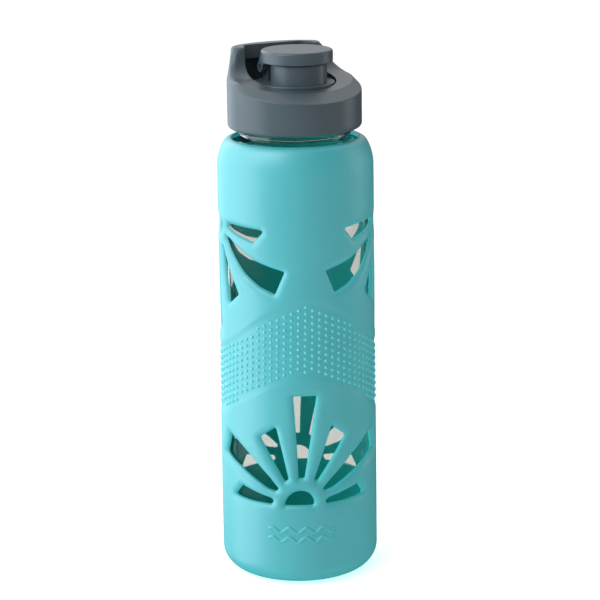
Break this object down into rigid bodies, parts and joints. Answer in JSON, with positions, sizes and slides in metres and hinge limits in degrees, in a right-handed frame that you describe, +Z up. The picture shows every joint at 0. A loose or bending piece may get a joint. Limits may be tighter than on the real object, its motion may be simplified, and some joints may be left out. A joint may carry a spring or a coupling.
{
  "type": "water bottle",
  "caption": "Glass water bottle in a cut-out silicone sleeve, with a screw lid, carrying bar, drinking spout and hinged flip cap.",
  "frame": {"origin": "centre of the base, on the surface that the bottle stands on", "axes": "+Z up along the bottle; -Y towards the drinking side of the lid; +Y towards its carrying bar and the flip cap's hinge"},
  "size_m": [0.0776, 0.0776, 0.2606],
  "materials": {
    "glass": "clear",
    "sleeve_silicone": "satin",
    "lid_plastic": "satin",
    "seal_silicone": "satin",
    "pin_steel": "satin"
  },
  "bodies": {
    "bottle": {"glass_bottle": "glass", "silicone_sleeve": "sleeve_silicone"},
    "gasket": {"rim_gasket": "seal_silicone"},
    "lid": {"lid_shell": "lid_plastic", "inner_cap": "lid_plastic", "hinge_pin": "pin_steel"},
    "flip": {"flip_cap": "lid_plastic", "spout_plug": "seal_silicone"}
  },
  "joints": [
    {"name": "lid_rise", "type": "slide", "parent": "bottle", "child": "gasket", "axis": [0, 0, 1], "range_m": [0, 0.0121]},
    {"name": "lid_turn", "type": "hinge", "parent": "gasket", "child": "lid", "pos_m": [0, 0, 0.2335], "axis": [0, 0, 1], "range_deg": [0, 540]},
    {"name": "flip_open", "type": "hinge", "parent": "lid", "child": "flip", "pos_m": [0, 0.0103, 0.2515], "axis": [-1, 0, 0], "range_deg": [0, 94]}
  ],
  "couplings": [
    {"joint": "lid_rise", "follows": "lid_turn", "m_per_rad": 0.0012732}
  ]
}
